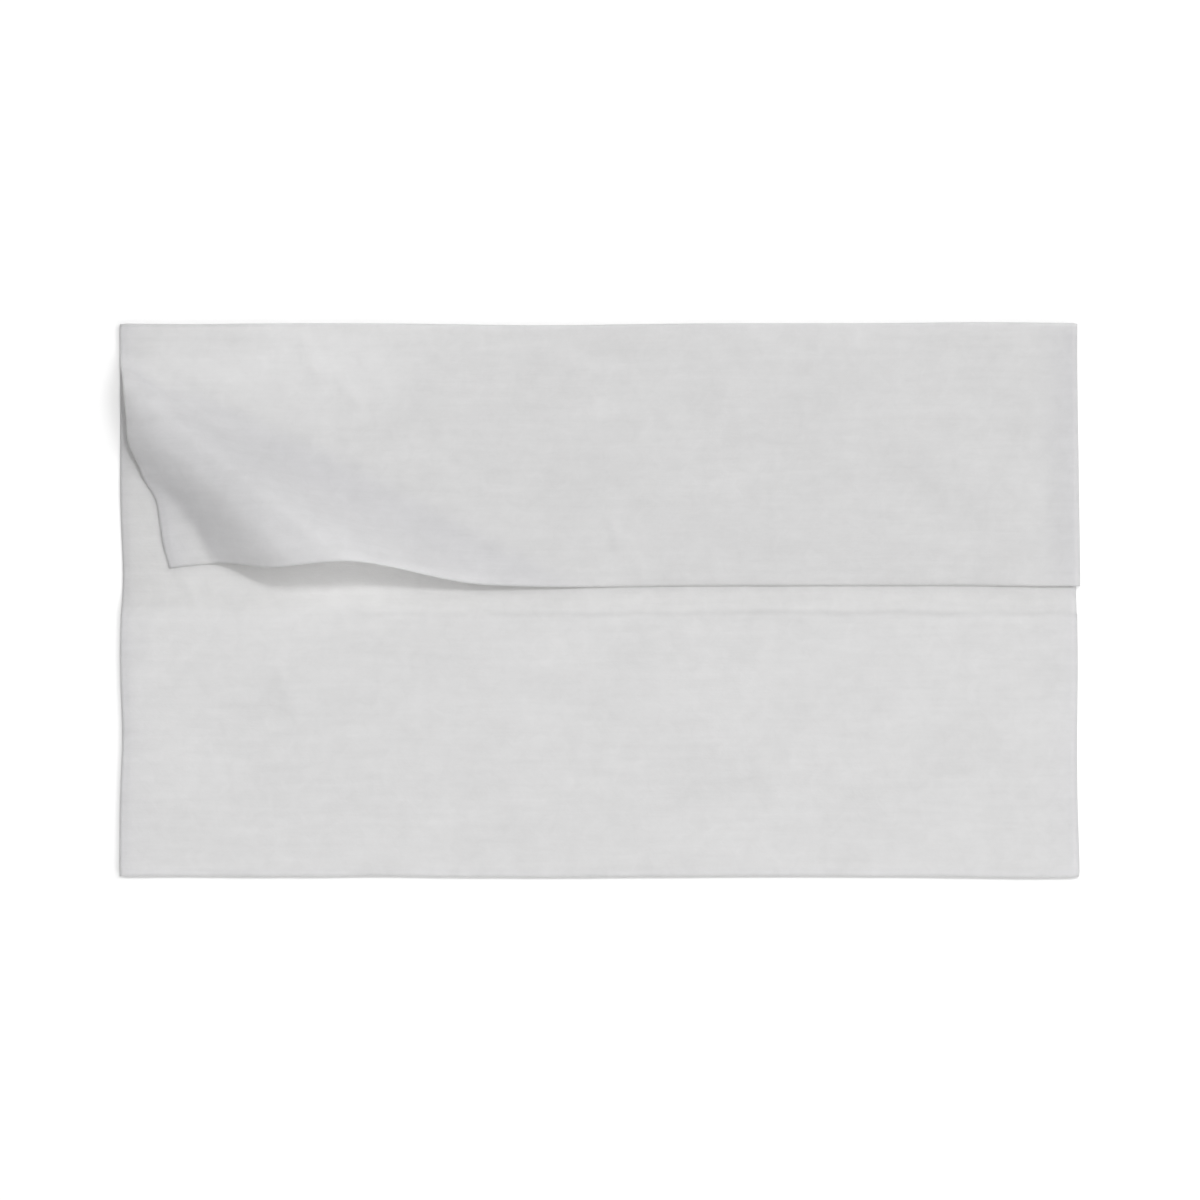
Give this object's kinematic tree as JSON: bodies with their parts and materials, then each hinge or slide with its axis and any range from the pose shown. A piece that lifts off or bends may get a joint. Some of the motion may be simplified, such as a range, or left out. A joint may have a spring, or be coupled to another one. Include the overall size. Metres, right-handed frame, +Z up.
{
  "type": "folded flushable wipe",
  "caption": "Moist nonwoven wipe folded in three as a Z and lying flat, with one corner of its top flap pushed in so that the flap rises in a low hump.",
  "frame": {"origin": "centre of the folded wipe's outline, on the surface that it lies on", "axes": "+X along the folds, +Y from the front fold to the back fold that carries the top flap, +Z up"},
  "size_m": [0.18, 0.104, 0.0125],
  "materials": {
    "nonwoven": "matte moist white nonwoven"
  },
  "bodies": {
    "root": {"folded_wipe": "nonwoven"}
  },
  "joints": []
}
